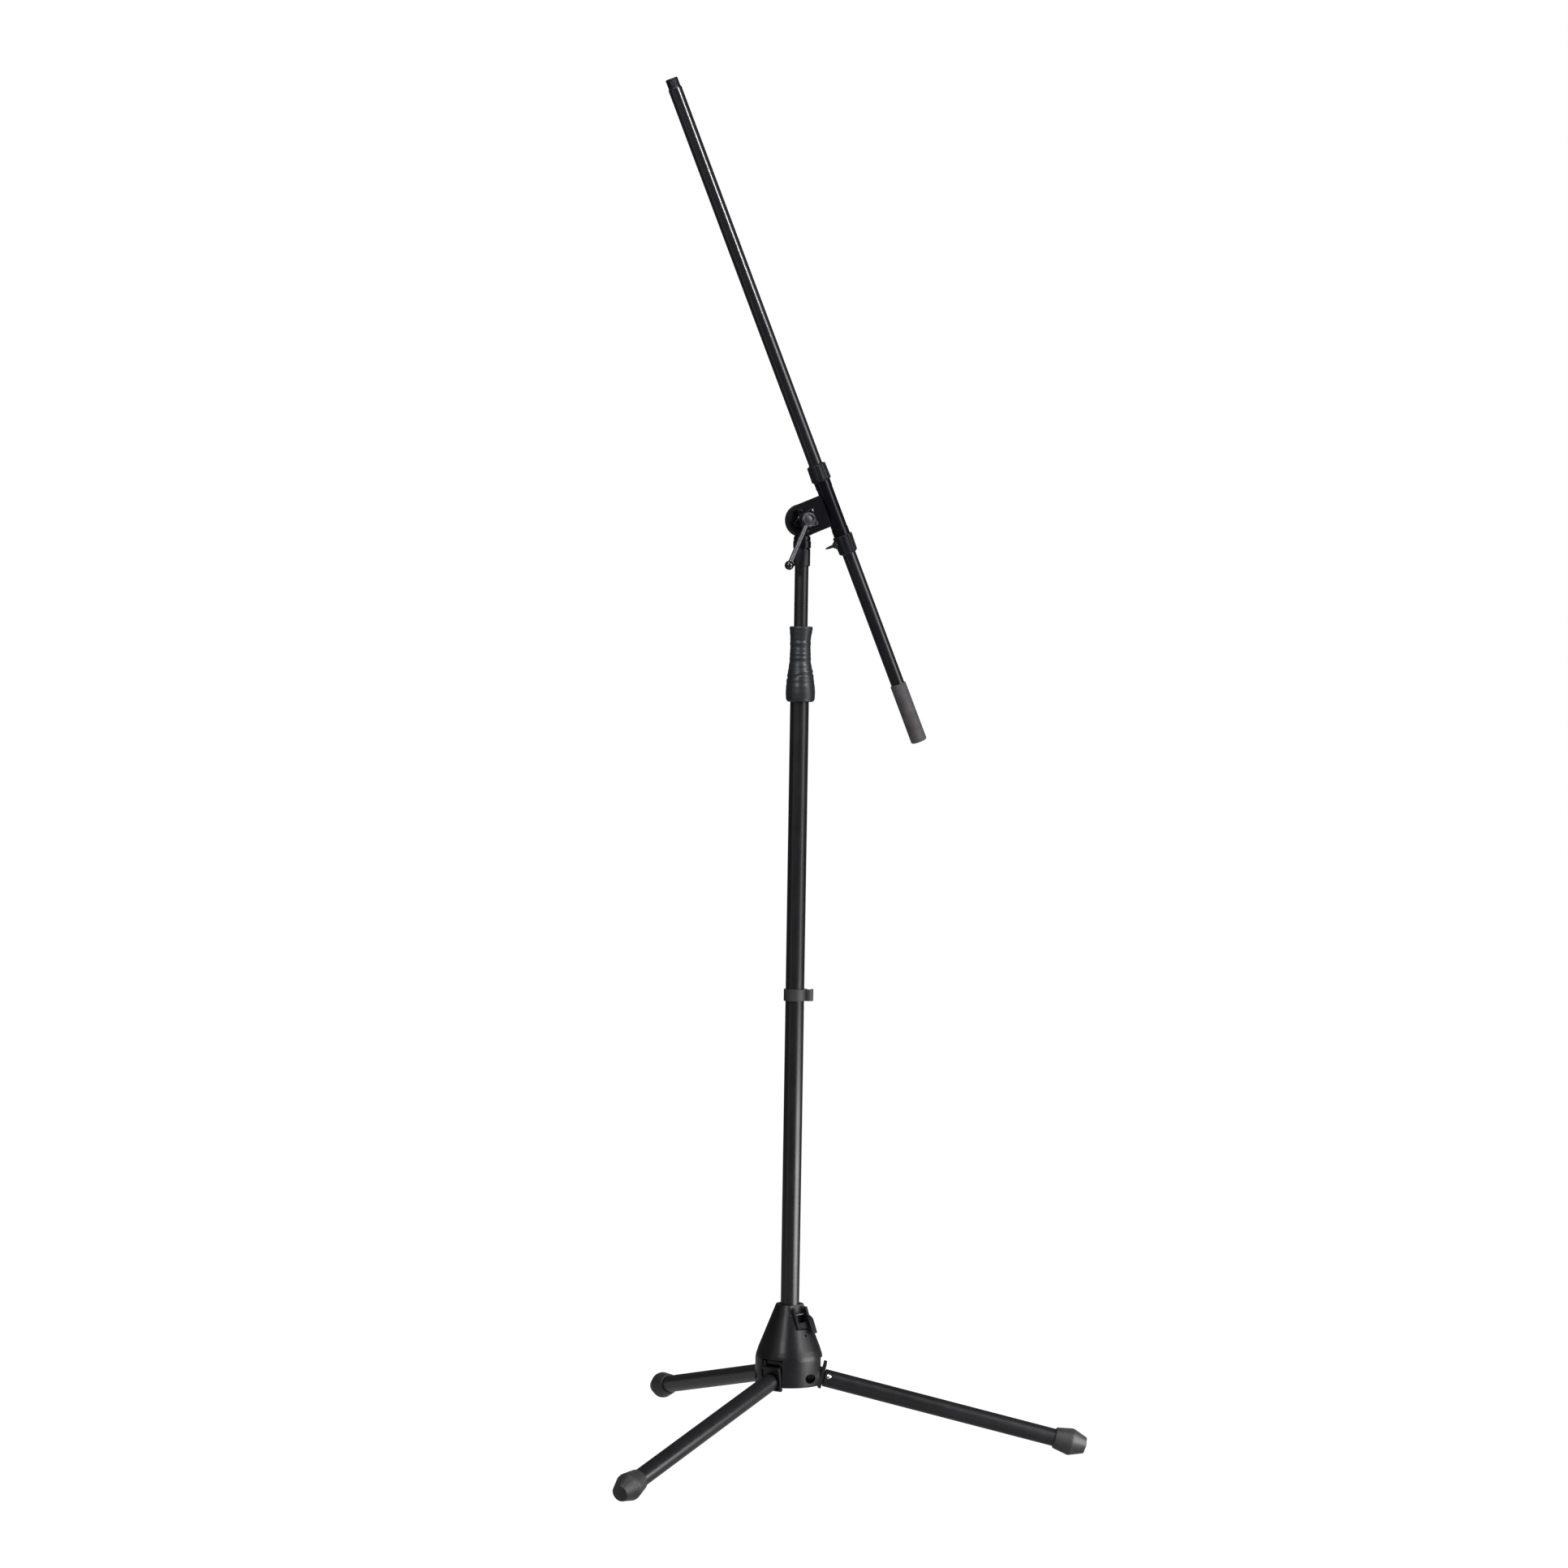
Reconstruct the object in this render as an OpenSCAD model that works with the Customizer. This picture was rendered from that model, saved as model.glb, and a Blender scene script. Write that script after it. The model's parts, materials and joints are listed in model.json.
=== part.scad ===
// Boom microphone stand: folding tripod, telescopic mast, tilting boom with counterweight.
// +Z is up. The origin is on the floor, under the mast axis. The boom lies in the XZ plane
// with its microphone end toward -X, and the tilt pivot runs along Y.

/* [Tubes] */
// Outer diameter of the lower mast tube
big_tube_d = 22.2; // [22.0:0.1:22.4]
// Outer diameter of the leg tubes
leg_tube_d = 20.8; // [20.4:0.1:21.2]
// Outer diameter of the upper mast tube and of the boom tube
small_tube_d = 15.9; // [15.8:0.1:16.0]
// Major diameter of the 5/8 inch microphone thread
thread_d = 15.875; // [15.8:0.005:15.9]
// Height of the top of the upper mast tube
upper_tube_top = 1113; // [1105:1:1121]

/* [Tripod] */
// Number of degrees that the first leg is turned from +X
leg_azimuth = -19.6; // [-30:0.1:30]
// Slope of the open legs below the horizontal
leg_slope = 13.5; // [12.5:0.1:14.5]
// Distance of the leg pivots from the mast axis
leg_pivot_r = 28; // [27.5:0.1:28.5]
// Height of the leg pivots
leg_pivot_z = 95.5; // [94.5:0.1:96]
// Length of a leg, from its pivot to the widest part of its foot
leg_reach = 338.9; // [336:0.1:342]
// Greatest radius of a rubber foot
foot_r = 17.5; // [17.2:0.1:18]

/* [Hub] */
// Height of the hub's top rim
hub_top = 184.5; // [182:0.5:187]
// Height of the hub's bottom edge
hub_bottom = 85; // [84:0.5:87]
// Greatest radius of the hub
hub_r = 42.5; // [42:0.1:43]
// Radius of the hub's top rim
hub_top_r = 17.5; // [17:0.1:18]

/* [Mast] */
// Height of the lower end of the clutch grip
grip_bottom = 942; // [935:1:945]
// Length of the clutch grip
grip_length = 94; // [92:1:100]
// Greatest radius of the clutch grip
grip_r = 18.4; // [18:0.1:19]
// Height of the middle of the cable clip
clip_z = 575; // [300:5:800]

/* [Boom] */
// Height of the boom's tilt pivot
tilt_z = 1168; // [1166:0.5:1170]
// Tilt of the boom from the vertical, toward -X
boom_tilt = 22.7; // [10:0.1:80]
// Distance from the tilt pivot to the boom's own axis
boom_offset = 41.8; // [41:0.1:44]
// Length of boom in front of the bracket, to the end of its thread
boom_front = 560.5; // [450:0.5:600]
// Length of boom behind the bracket, to its counterweight's end
boom_rear = 313.5; // [300:0.5:400]
// Length of the counterweight
weight_length = 77; // [60:1:100]
// Length of the tension lever, from the pivot to the ball
lever_length = 62; // [50:1:70]
// Angle of the tension lever from straight down, toward -X
lever_angle = 23; // [0:1:45]

/* [Hidden] */
$fn = 96;

// Fits: radial gap where one piece runs on another, and between pieces that only pass
run_gap = 0.1;
free_gap = 0.35;
eps = 0.01;
big_r = big_tube_d / 2;
leg_r = leg_tube_d / 2;
small_r = small_tube_d / 2;
big_wall = 1.5;
small_wall = 1.1;

// Hub
hub_wall = 4;
shoulder_z = 117;
shoulder_r = 39;
shoulder_top = 130;
boss_r = 14.5;
tube_seat_z = 98;
seat_thickness = 6;
bolt_recess_r = 9.5;
bolt_head_r = 7.2;
bolt_head_h = 5;
washer_r = 8.2;
washer_z = tube_seat_z - seat_thickness - 1.6;
tube_bolt_length = 24;
plug_length = 25;
knuckle_w = 19.4;
slot_w = knuckle_w + 2 * 0.45;
cheek_w = 4;
window_w = 29.6;
window_top = 119;
cheek_r = 11.6;
pin_r = 4;
screw_head_r = 4.6;
screw_recess_r = 6;
leg_count = 3;

// Legs, measured along the leg from its pivot
flange_near = 12;
flange_t = 4;
flange_w = 28;
flange_h = 31;
flange_rise = 3.5;
flange_rim = 2.4;
flange_recess = 2;
knuckle_h = 22;
leg_tube_start = flange_near + flange_t + 1.4;
leg_tube_end = 322;
spigot_length = 26;
rivet_at = 22;
rivet_r = 2.2;
rivet_head_r = 3.6;
rivet_turn = 62;
foot_mouth = 22;
foot_tail = 19.4;
foot_mouth_r = 13.2;
foot_end_r = 11.3;

// Release trigger, in the plane through the mast axis at trigger_azimuth
trigger_azimuth = leg_azimuth - 44;
trigger_w = 25;
trigger_slot_w = 17.6;
trigger_slot_z = hub_top - 24;
handle_w = 8;
trigger_pin_at = [15.3, hub_top - 12];
trigger_pin_r = 1.5;
pocket_gap = 0.5;
pocket_floor_r = 12.8;
pocket_bottom = hub_top - 29;
vent_z = hub_top - 36;

// Lower tube and clutch
lower_tube_bottom = tube_seat_z;
lower_tube_top = grip_bottom + 32;
grip_top = grip_bottom + grip_length;
grip_neck_r = 12.8;
grip_lip_r = 14.6;
clutch_spigot = 28;
clutch_flange_r = 12.2;
clutch_flange_t = 3.5;
collet_r = 9.4;
collet_top = grip_top - 14;
collet_slit = 1.2;
clip_azimuth = -18;
clip_r = 14;
clip_mouth_at = 140;
clip_half = 7.4;
cable_holder_x = 17.6;
cable_holder_r = 5.6;
cable_r = 3.6;

// Mast
upper_tube_bottom = 231;
bush_length = 20;
bush_r = big_r - big_wall - run_gap;
bush_hole_r = 4;
bush_end_t = 3;
stud_top = upper_tube_top + 15;
nut_bottom = 1111;
nut_top = 1132;
nut_r = 10.7;
nut_sides = 12;

// Boom head, distances along Y from the boom's plane
disc_r = 20.4;
disc_half = 4.2;
friction_t = 1.1;
ear_near = disc_half + friction_t + 0.3;
ear_far = 8.2;
bolt_r = 4;
bush_outer_r = 6;
clamp_bolt_near = 21.5;
clamp_nut_r = 7.4;
clamp_nut_h = 6.5;
fork_floor = tilt_z - disc_r - 0.9;
stem_r = 10.6;
stem_groove = 0.8;
star_near = ear_far + 0.3;
star_far = 16;
star_r = 10.4;
star_lobes = 5;
star_lobe_r = 3.9;
star_lobe_at = 12.9;
star_turn = 62;
lever_hub_r = 9.5;
lever_hub_far = 27.6;
lever_rod_r = 2.35;
lever_rod_y = 24.5;
lever_ball_r = 5.75;

// Boom, distances along it from the bracket's foot; plus is toward the microphone
liner_r = small_r + run_gap + 0.5;
sleeve_bore_r = liner_r + run_gap;
sleeve_r = 10.1;
sleeve_front = 36.4;
sleeve_neck_front = 48;
sleeve_rear = -36;
sleeve_neck_rear = -40.5;
band_r = 10.5;
band_length = 9.2;
notch_r = 3.3;
notch_wall = 0.7;
collar_front = 57.8;
collar_r = 12.7;
collar_ribs = 10;
rear_collar_end = -59.4;
rear_collar_r = 12.6;
thumb_s = -44.5;
thumb_reach = 25.4;
thumb_screw_r = 2.4;
thumb_boss_r = 5;
thread_length = 12.4;
relief_r = 7.2;
relief_length = 1.2;
weight_r = 10.1;

// Frames: the leg's and the boom's own axes are the local Z axis
module leg_frame(i) {
  rotate([0, 0, leg_azimuth - 120 * (i - 1)])
    translate([leg_pivot_r, 0, leg_pivot_z])
      rotate([0, 90 + leg_slope, 0])
        children();
}
module tilt_frame() {
  translate([0, 0, tilt_z])
    rotate([0, -boom_tilt, 0])
      children();
}
module boom_frame() {
  tilt_frame()
    translate([boom_offset, 0, 0])
      children();
}

// Shapes that repeat
module ring(outer, inner, z0, z1) {
  difference() {
    translate([0, 0, z0]) cylinder(r = outer, h = z1 - z0);
    translate([0, 0, z0 - 1]) cylinder(r = inner, h = z1 - z0 + 2);
  }
}
module along_y(r, y0, y1) {
  translate([0, y1, 0])
    rotate([90, 0, 0])
      cylinder(r = r, h = y1 - y0);
}
module fluted_ring(outer, inner, z0, z1, ribs, chamfer) {
  difference() {
    rotate_extrude()
      polygon([
        [inner, z0], [outer - chamfer, z0], [outer, z0 + chamfer],
        [outer, z1 - chamfer], [outer - chamfer, z1], [inner, z1]
      ]);
    for (k = [0 : ribs - 1])
      rotate([0, 0, 360 / ribs * (k + 0.5)])
        translate([outer + 0.7, 0, z0 - 1])
          cylinder(r = 1.5, h = z1 - z0 + 2, $fn = 32);
  }
}
// Points of an arc about c, from the angle a0 to a1
function arc(c, r, a0, a1, n) = [
  for (k = [0 : n])
    let (a = a0 + (a1 - a0) * k / n)
      c + r * [cos(a), sin(a)]
];

// A helix of round wire about Z
function coil_point(r, rise, turns, t) = [r * cos(360 * turns * t), r * sin(360 * turns * t), rise * t];
module coil(r, wire_r, rise, turns, steps, sides) {
  points = [
    for (i = [0 : steps])
      let (p = coil_point(r, rise, turns, i / steps), a = 360 * turns * i / steps)
        for (j = [0 : sides - 1])
          let (b = 360 * j / sides)
            p + wire_r * [cos(b) * cos(a), cos(b) * sin(a), sin(b)]
  ];
  skin = [
    for (i = [0 : steps - 1])
      for (j = [0 : sides - 1])
        [i * sides + j, i * sides + (j + 1) % sides, (i + 1) * sides + (j + 1) % sides, (i + 1) * sides + j]
  ];
  first = [for (j = [sides - 1 : -1 : 0]) j];
  last = [for (j = [0 : sides - 1]) steps * sides + j];
  polyhedron(points = points, faces = concat([first], skin, [last]), convexity = 8);
}

// Tripod hub: a hollow bell with a mast socket and a pair of cheeks for each leg
module hub_outline(inset) {
  polygon(concat(
    [[0, hub_bottom - 1], [hub_r - inset, hub_bottom - 1], [hub_r - inset, shoulder_z]],
    [[hub_r - 0.9 - inset, shoulder_z + 5], [shoulder_r + 0.9 - inset, shoulder_top - 3]],
    [[shoulder_r - inset, shoulder_top], [hub_top_r - inset, hub_top - inset], [0, hub_top - inset]]
  ));
}
module leg_slot(i) {
  rotate([0, 0, leg_azimuth - 120 * (i - 1)])
    children();
}
module hub_body() {
  color("#303032")
    difference() {
      union() {
        // bell
        difference() {
          rotate_extrude() hub_outline(0);
          rotate_extrude()
            difference() {
              hub_outline(hub_wall);
              translate([0, 160]) square([100, 100]);
            }
          for (i = [1 : leg_count])
            leg_slot(i)
              translate([20, -window_w / 2, hub_bottom - 5])
                cube([40, window_w, window_top - hub_bottom + 5]);
        }
        // mast socket
        translate([0, 0, hub_bottom]) cylinder(r = boss_r, h = hub_top - hub_bottom - 6);
        // cheeks, roofs and screw tunnels
        for (i = [1 : leg_count])
          leg_slot(i) {
            for (side = [-1, 1])
              translate([0, side * (slot_w + cheek_w) / 2, 0])
                cheek();
            translate([12, -slot_w / 2 - 1, window_top - 6])
              cube([hub_r - hub_wall - 14, slot_w + 2, 4]);
            intersection() {
              translate([leg_pivot_r, 0, leg_pivot_z])
                along_y(screw_recess_r + 2, -hub_r, -slot_w / 2 - 1);
              translate([0, 0, hub_bottom]) cylinder(r = hub_r - 1, h = hub_top);
            }
          }
      }
      // below the bottom edge
      translate([0, 0, hub_bottom - 20]) cylinder(r = hub_r + 10, h = 20);
      // mast tube bore and bolt hole
      translate([0, 0, tube_seat_z]) cylinder(r = big_r + 0.02, h = 200);
      translate([0, 0, hub_bottom - 1]) cylinder(r = bolt_r + 0.2, h = 30);
      translate([0, 0, hub_bottom - 1])
        cylinder(r = bolt_recess_r, h = tube_seat_z - seat_thickness - hub_bottom + 1);
      // leg slots, pivot holes and screw recesses
      for (i = [1 : leg_count])
        leg_slot(i) {
          translate([boss_r + 0.5, -slot_w / 2, hub_bottom - 1])
            cube([hub_r, slot_w, window_top - 6 - hub_bottom + 1]);
          translate([leg_pivot_r, 0, leg_pivot_z]) {
            along_y(pin_r + 0.02, -20, 20);
            along_y(screw_recess_r, -hub_r - 5, -slot_w / 2 - cheek_w);
          }
        }
      // trigger pocket and its pin hole
      rotate([0, 0, trigger_azimuth]) {
        translate([pocket_floor_r, -trigger_w / 2 - pocket_gap, pocket_bottom])
          cube([40, trigger_w + 2 * pocket_gap, 60]);
        translate([trigger_pin_at[0], 0, trigger_pin_at[1]])
          along_y(trigger_pin_r + 0.02, -15.5, 15.5);
        // small hole below the trigger
        translate([20, -2, vent_z]) rotate([0, 90, 0]) cylinder(r = 1.5, h = 20);
      }
    }
}
module cheek() {
  translate([0, cheek_w / 2, 0])
    rotate([90, 0, 0])
      linear_extrude(cheek_w)
        difference() {
          union() {
            translate([12, hub_bottom]) square([leg_pivot_r - 12, window_top - 2 - hub_bottom]);
            translate([leg_pivot_r, leg_pivot_z]) circle(r = cheek_r);
            translate([leg_pivot_r - 1, leg_pivot_z + 5])
              square([hub_r - leg_pivot_r - 3, window_top - 7 - leg_pivot_z]);
          }
          // the flange swings past below the roof
          translate([leg_pivot_r + cheek_r, hub_bottom - 5]) square([20, window_top - 8 - hub_bottom]);
        }
}

// Mast fixing
module tube_bolt() {
  color("#8c8c8e")
    union() {
      translate([0, 0, washer_z - bolt_head_h])
        linear_extrude(bolt_head_h) circle(r = bolt_head_r, $fn = 6);
      translate([0, 0, washer_z]) cylinder(r = bolt_r, h = tube_bolt_length);
    }
}
module tube_washer() {
  color("#a0a0a2")
    ring(washer_r, bolt_r + 0.1, washer_z, tube_seat_z - seat_thickness);
}
module tube_plug() {
  color("#8c8c8e")
    ring(big_r - big_wall, bolt_r, tube_seat_z, tube_seat_z + plug_length);
}
module lower_tube() {
  color("#1c1c1e")
    ring(big_r, big_r - big_wall, lower_tube_bottom, lower_tube_top);
}

// Release trigger: a slotted plate hinged near its top, with a finger handle on one side
module trigger_plate() {
  translate([0, hub_top])
    polygon([
      [13.3, -14], [13.3, -11], [14.8, -6.5], [15.6, -2.9], [18.2, -2.1], [19.6, -5.2],
      [29, -27], [28, -28.3], [24.5, -28.3], [16, -18.5]
    ]);
}
module trigger_handle() {
  translate([0, hub_top])
    polygon([
      [18.4, -11.5], [24.6, -13], [28.6, -15.2], [30.6, -18], [37.2, -32.4],
      [36.6, -33.6], [34.6, -33.4], [28.4, -20.6], [26.2, -18.6], [18.4, -18.6]
    ]);
}
module release_trigger() {
  color("#38383a")
    rotate([0, 0, trigger_azimuth])
      difference() {
        union() {
          rotate([90, 0, 0]) linear_extrude(trigger_w, center = true) trigger_plate();
          translate([0, trigger_w / 2, 0]) rotate([90, 0, 0]) linear_extrude(handle_w) trigger_handle();
        }
        // central slot, open at the top
        translate([10, -trigger_slot_w / 2, trigger_slot_z])
          cube([16, trigger_slot_w, 30]);
        translate([trigger_pin_at[0], 0, trigger_pin_at[1]])
          along_y(trigger_pin_r + run_gap, -20, 20);
      }
}
module trigger_pin() {
  color("#9a9a9c")
    rotate([0, 0, trigger_azimuth])
      translate([trigger_pin_at[0], 0, trigger_pin_at[1]])
        along_y(trigger_pin_r, -15, 15);
}
module trigger_spring() {
  color("#b0b0b2")
    rotate([0, 0, trigger_azimuth])
      translate([trigger_pin_at[0], -2.4, trigger_pin_at[1]])
        rotate([-90, 0, 0])
          coil(r = 2.1, wire_r = 0.35, rise = 4.8, turns = 4, steps = 64, sides = 6);
}

// Mast clutch
module clutch_body() {
  color("#202022")
    difference() {
      union() {
        translate([0, 0, lower_tube_top - clutch_spigot]) cylinder(r = big_r - big_wall, h = clutch_spigot);
        translate([0, 0, lower_tube_top]) cylinder(r = clutch_flange_r, h = clutch_flange_t);
        translate([0, 0, lower_tube_top + clutch_flange_t]) cylinder(r = collet_r, h = 5);
      }
      translate([0, 0, lower_tube_top - clutch_spigot - 1])
        cylinder(r = small_r + free_gap, h = clutch_spigot + 30);
    }
}
module clutch_collet() {
  color("#6a6a6c")
    difference() {
      ring(collet_r, small_r + run_gap, lower_tube_top + clutch_flange_t + 5.1, collet_top);
      translate([0, -collet_slit / 2, lower_tube_top]) cube([20, collet_slit, 80]);
    }
}
module clutch_grip() {
  color("#2b2f31")
    difference() {
      translate([0, 0, grip_bottom])
        rotate_extrude()
          polygon(concat(
            [[0, 0], [grip_r - 4.2, 0]],
            arc([grip_r - 4.2, 4.2], 4.2, -90, -30, 3),
            [[grip_r - 0.2, 7], [grip_r, 11.5], [grip_r - 0.3, 18], [grip_r - 1.2, 25]],
            [[grip_r - 2, 31], [grip_r - 2.7, 37], [grip_r - 4, 43.5], [grip_neck_r + 0.4, 52]],
            [[grip_neck_r, 58], [grip_neck_r, grip_length - 18], [grip_lip_r, grip_length - 1.5]],
            [[grip_lip_r - 1, grip_length], [0, grip_length]]
          ));
      translate([0, 0, grip_bottom - 1]) cylinder(r = big_r + run_gap, h = lower_tube_top - grip_bottom);
      translate([0, 0, lower_tube_top - 1.2])
        cylinder(r = clutch_flange_r + free_gap, h = clutch_flange_t + 1.7);
      translate([0, 0, lower_tube_top])
        cylinder(r = collet_r + free_gap, h = collet_top + 0.5 - lower_tube_top);
      translate([0, 0, grip_bottom]) cylinder(r = small_r + free_gap, h = grip_length + 5);
    }
}
module cable_clip() {
  color("#3a3a3b")
    rotate([0, 0, clip_azimuth])
      translate([0, 0, clip_z - clip_half])
        linear_extrude(2 * clip_half)
          difference() {
            union() {
              circle(r = clip_r);
              translate([cable_holder_x, 0]) circle(r = cable_holder_r, $fn = 48);
            }
            circle(r = big_r + run_gap);
            translate([cable_holder_x, 0]) circle(r = cable_r, $fn = 48);
            // snap opening at the back of the ring, and the cable's way in
            rotate(clip_mouth_at) polygon([[0, 0], [30, -16], [30, 16]]);
            translate([cable_holder_x - 2.3, 0]) square([4.6, 12]);
          }
}

// Legs
module leg_knuckle(i) {
  color("#2e2e30")
    leg_frame(i)
      difference() {
        union() {
          // hinge block with a round nose
          intersection() {
            along_y(knuckle_h / 2, -knuckle_w / 2, knuckle_w / 2);
            translate([-20, -20, -20]) cube([40, 40, 20]);
          }
          translate([-knuckle_h / 2, -knuckle_w / 2, -eps]) cube([knuckle_h, knuckle_w, flange_near + 1]);
          // flange with a raised rim round the tube
          translate([-flange_h / 2 - flange_rise, -flange_w / 2, flange_near])
            cube([flange_h, flange_w, flange_t]);
          cylinder(r = leg_r - big_wall, h = flange_near + flange_t + spigot_length);
        }
        rim_x = flange_h - 2 * flange_rim;
        rim_y = flange_w - 2 * flange_rim;
        difference() {
          translate([-rim_x / 2 - flange_rise, -rim_y / 2, flange_near + flange_t - flange_recess])
            cube([rim_x, rim_y, flange_recess + 1]);
          cylinder(r = leg_r - big_wall, h = 100);
        }
        along_y(pin_r + run_gap, -20, 20);
        rivet_hole(rivet_r);
      }
}
module rivet_hole(r) {
  translate([0, 0, rivet_at])
    rotate([0, 0, rivet_turn])
      rotate([0, -90, 0])
        cylinder(r = r, h = 20);
}
module leg_tube(i) {
  color("#1e1e20")
    leg_frame(i)
      difference() {
        ring(leg_r, leg_r - big_wall, leg_tube_start, leg_tube_end);
        rivet_hole(rivet_r);
      }
}
module leg_rivet(i) {
  color("#b8b8ba")
    leg_frame(i)
      translate([0, 0, rivet_at])
        rotate([0, 0, rivet_turn])
          rotate([0, -90, 0])
            difference() {
              union() {
                translate([0, 0, 4]) cylinder(r = rivet_r, h = leg_r - 4);
                translate([0, 0, leg_r - 2.6])
                  intersection() {
                    translate([0, 0, -0.6]) sphere(r = 5);
                    cylinder(r = rivet_head_r, h = 10);
                  }
              }
              // the head's underside follows the tube
              difference() {
                rotate([0, 90, 0]) translate([0, 0, -10]) cylinder(r = leg_r, h = 20);
                translate([0, 0, -20]) cylinder(r = rivet_r, h = 40);
              }
            }
}
module leg_foot(i) {
  color("#4a4648")
    difference() {
      leg_frame(i)
        rotate_extrude()
          polygon([
            [0, leg_tube_end], [leg_r, leg_tube_end], [leg_r, leg_reach - foot_mouth],
            [foot_mouth_r - 1, leg_reach - foot_mouth], [foot_mouth_r, leg_reach - foot_mouth + 1],
            [foot_r - 0.5, leg_reach - 2], [foot_r, leg_reach], [foot_r - 0.3, leg_reach + 1.6],
            [foot_end_r, leg_reach + foot_tail - 1], [foot_end_r - 1.2, leg_reach + foot_tail],
            [0, leg_reach + foot_tail]
          ]);
      translate([-500, -500, -20]) cube([1000, 1000, 20]);
    }
}
module leg_pivot_screw(i) {
  head_y = -slot_w / 2 - cheek_w;
  color("#5a5a5c")
    leg_slot(i)
      translate([leg_pivot_r, 0, leg_pivot_z])
        difference() {
          union() {
            along_y(pin_r, head_y, -head_y);
            along_y(screw_head_r, head_y - 3, head_y);
          }
          // hexagon socket
          translate([0, head_y - 1, 0]) rotate([90, 0, 0]) linear_extrude(5) circle(r = 2.6, $fn = 6);
        }
}

// Upper mast
module upper_tube() {
  color("#1c1c1e")
    ring(small_r, small_r - small_wall, upper_tube_bottom, upper_tube_top);
}
module upper_tube_bush() {
  color("#d8d8d4")
    union() {
      ring(bush_r, small_r, upper_tube_bottom, upper_tube_bottom + bush_length);
      ring(bush_r, bush_hole_r, upper_tube_bottom - bush_end_t, upper_tube_bottom);
    }
}
module upper_tube_stud() {
  color("#8c8c8e")
    union() {
      translate([0, 0, upper_tube_top - 18]) cylinder(r = small_r - small_wall, h = 18);
      translate([0, 0, upper_tube_top]) cylinder(r = thread_d / 2, h = stud_top - upper_tube_top);
    }
}
module coupling_nut() {
  color("#303234")
    difference() {
      intersection() {
        translate([0, 0, nut_bottom])
          linear_extrude(nut_top - nut_bottom)
            circle(r = nut_r, $fn = nut_sides);
        rotate_extrude()
          polygon([
            [0, nut_bottom], [nut_r - 1, nut_bottom], [nut_r, nut_bottom + 1.2],
            [nut_r, nut_top - 1.2], [nut_r - 1, nut_top], [0, nut_top]
          ]);
      }
      translate([0, 0, nut_bottom - 1]) cylinder(r = small_r + run_gap, h = 40);
    }
}

// Boom head
module swivel_collar() {
  z0 = nut_top + 0.3;
  color("#242426")
    rotate_extrude()
      polygon([
        [0, z0], [stem_r - stem_groove, z0], [stem_r - stem_groove, z0 + 1.2], [stem_r, z0 + 1.8],
        [stem_r, fork_floor - 5.2], [stem_r - stem_groove, fork_floor - 4.8],
        [stem_r - stem_groove, fork_floor - 4], [0, fork_floor - 4]
      ]);
}
module fork() {
  color("#2a2a2c")
    difference() {
      union() {
        translate([0, 0, fork_floor - 4]) cylinder(r = stem_r, h = 5);
        // the stem's shoulders run out on the ears
        translate([0, 0, fork_floor + 1]) cylinder(r1 = stem_r, r2 = ear_near, h = 4);
        for (side = [-1, 1])
          translate([0, side * (ear_near + ear_far) / 2, tilt_z])
            along_y(disc_r, -(ear_far - ear_near) / 2, (ear_far - ear_near) / 2);
      }
      // space for the bracket's disc
      translate([-30, -ear_near, fork_floor]) cube([60, 2 * ear_near, 60]);
      translate([0, 0, tilt_z]) along_y(bolt_r + 0.05, -20, 20);
    }
}
module friction_disc(side) {
  color("#5c5040")
    translate([0, side * (disc_half + 0.15 + friction_t / 2), tilt_z])
      difference() {
        along_y(disc_r - 1.5, -friction_t / 2, friction_t / 2);
        along_y(bolt_r + 0.1, -5, 5);
      }
}
module clamp_bolt() {
  color("#98989a")
    translate([0, 0, tilt_z])
      along_y(bolt_r, -clamp_bolt_near, ear_far + 8);
}
module clamp_nut() {
  color("#98989a")
    translate([0, ear_far + clamp_nut_h + 0.1, tilt_z])
      rotate([90, 0, 0])
        difference() {
          linear_extrude(clamp_nut_h) circle(r = clamp_nut_r, $fn = 6);
          translate([0, 0, -1]) cylinder(r = bolt_r, h = 10);
        }
}

// Tension lever
module lever_frame() {
  translate([0, 0, tilt_z])
    rotate([0, lever_angle, 0])
      children();
}
module lever_star() {
  color("#2a2a2e")
    lever_frame()
      difference() {
        translate([0, -star_near, 0])
          rotate([90, 0, 0])
            linear_extrude(star_far - star_near)
              union() {
                circle(r = star_r);
                for (k = [0 : star_lobes - 1])
                  rotate(star_turn + 360 / star_lobes * (k + 0.5) - 90)
                    translate([star_lobe_at, 0])
                      circle(r = star_lobe_r);
              }
        along_y(bolt_r + run_gap, -star_far - 1, 0);
      }
}
module lever_hub() {
  color("#58585c")
    lever_frame()
      difference() {
        union() {
          along_y(lever_hub_r, -lever_hub_far + 1.2, -star_far);
          translate([0, -lever_hub_far + 1.2, 0])
            rotate([90, 0, 0])
              cylinder(r1 = lever_hub_r, r2 = lever_hub_r - 1.2, h = 1.2);
        }
        along_y(bolt_r + run_gap, -clamp_bolt_near - 0.3, 0);
        translate([0, -lever_rod_y, -20]) cylinder(r = lever_rod_r, h = 16);
      }
}
module lever_rod() {
  color("#8a8a8c")
    lever_frame()
      translate([0, -lever_rod_y, -lever_length + 1])
        cylinder(r = lever_rod_r, h = lever_length - 5.6);
}
module lever_ball() {
  color("#303034")
    lever_frame()
      difference() {
        translate([0, -lever_rod_y, -lever_length]) sphere(r = lever_ball_r);
        translate([0, -lever_rod_y, -lever_length + 1]) cylinder(r = lever_rod_r, h = 20);
      }
}

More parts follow.
